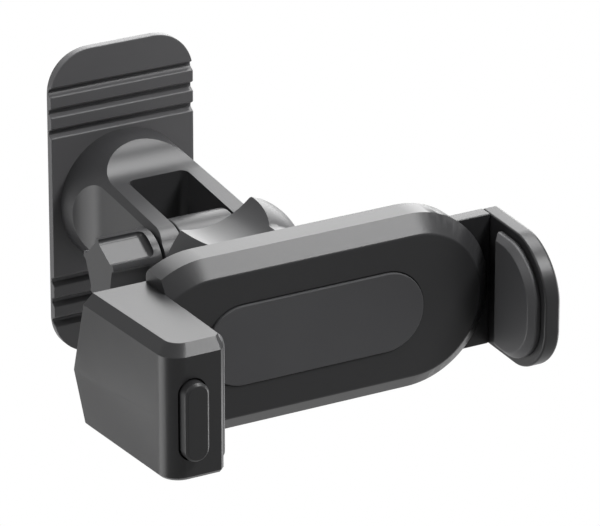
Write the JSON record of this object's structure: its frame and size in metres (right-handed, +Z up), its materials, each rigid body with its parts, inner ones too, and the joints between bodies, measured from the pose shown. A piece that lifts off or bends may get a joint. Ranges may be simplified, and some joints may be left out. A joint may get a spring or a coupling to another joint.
{
  "type": "adhesive phone holder",
  "caption": "Stick-on car phone holder: grooved plate, forked tilt arm with thumb knob, ball joint with fluted nut, and an obround cradle with a fixed jaw, a sliding jaw and a release button",
  "frame": {"origin": "middle of the adhesive face that meets the dashboard", "axes": "+Z up, +X to the right seen from the front, the holder reaches out along -Y and the adhesive face looks along +Y"},
  "size_m": [0.0913, 0.1037, 0.0652],
  "materials": {
    "foam": "dull foam tape",
    "soft_plastic": "satin, fine grain",
    "arm_plastic": "satin, fine grain",
    "cradle_plastic": "satin, fine grain",
    "button_plastic": "satin",
    "grip_rubber": "dull",
    "liner": "plain moulded",
    "steel": "zinc plated"
  },
  "bodies": {
    "base": {"adhesive_pad": "foam", "base_plate": "soft_plastic", "base_screw": "steel", "fork_arm": "arm_plastic", "pivot_nut": "steel"},
    "arm": {"pivot_arm": "arm_plastic"},
    "knob": {"thumb_knob": "arm_plastic", "pivot_bolt": "steel"},
    "rear_liner": {"ball_ring": "liner"},
    "front_liner": {"ball_pad": "liner"},
    "cradle": {"rear_cover": "cradle_plastic", "front_shell": "cradle_plastic", "centre_pad": "grip_rubber", "cover_screws": "steel", "left_jaw": "cradle_plastic", "left_jaw_pad": "grip_rubber", "latch_pin": "steel", "latch_spring": "steel", "eject_springs": "steel"},
    "nut": {"ring_nut": "arm_plastic"},
    "button": {"release_button": "button_plastic"},
    "pawl": {"latch_pawl": "liner"},
    "jaw": {"jaw_slide": "cradle_plastic", "right_jaw": "cradle_plastic", "right_jaw_pad": "grip_rubber"}
  },
  "joints": [
    {"name": "arm_tilt", "type": "hinge", "parent": "base", "child": "arm", "pos_m": [0, -0.0344, -0.0003], "axis": [1, 0, 0], "range_deg": [-60, 60]},
    {"name": "knob_turn", "type": "hinge", "parent": "base", "child": "knob", "pos_m": [0, -0.0344, -0.0003], "axis": [1, 0, 0], "continuous": true},
    {"name": "ball_yaw", "type": "hinge", "parent": "arm", "child": "rear_liner", "pos_m": [0, -0.0497, 0], "axis": [0, 0, 1], "range_deg": [-15, 15]},
    {"name": "ball_pitch", "type": "hinge", "parent": "rear_liner", "child": "front_liner", "pos_m": [0, -0.0497, 0], "axis": [1, 0, 0], "range_deg": [-15, 15]},
    {"name": "cradle_roll", "type": "hinge", "parent": "front_liner", "child": "cradle", "pos_m": [0, -0.0497, 0], "axis": [0, 1, 0], "continuous": true},
    {"name": "nut_turn", "type": "hinge", "parent": "cradle", "child": "nut", "pos_m": [0, -0.0497, 0], "axis": [0, 1, 0], "continuous": true},
    {"name": "button_press", "type": "slide", "parent": "cradle", "child": "button", "axis": [0, 1, 0], "range_m": [0, 0.0012], "stiffness_N_per_m": 400, "springref_m": -0.0012},
    {"name": "pawl_lift", "type": "hinge", "parent": "cradle", "child": "pawl", "pos_m": [-0.0256, -0.0759, 0], "axis": [0, 0, 1], "range_deg": [-11, 0], "deforming": ["latch_spring"]},
    {"name": "jaw_slide_out", "type": "slide", "parent": "cradle", "child": "jaw", "axis": [1, 0, 0], "range_m": [0, 0.018], "deforming": ["eject_springs"]}
  ],
  "couplings": [
    {"joint": "pawl_lift", "follows": "button_press", "rad_per_m": -112.36}
  ]
}
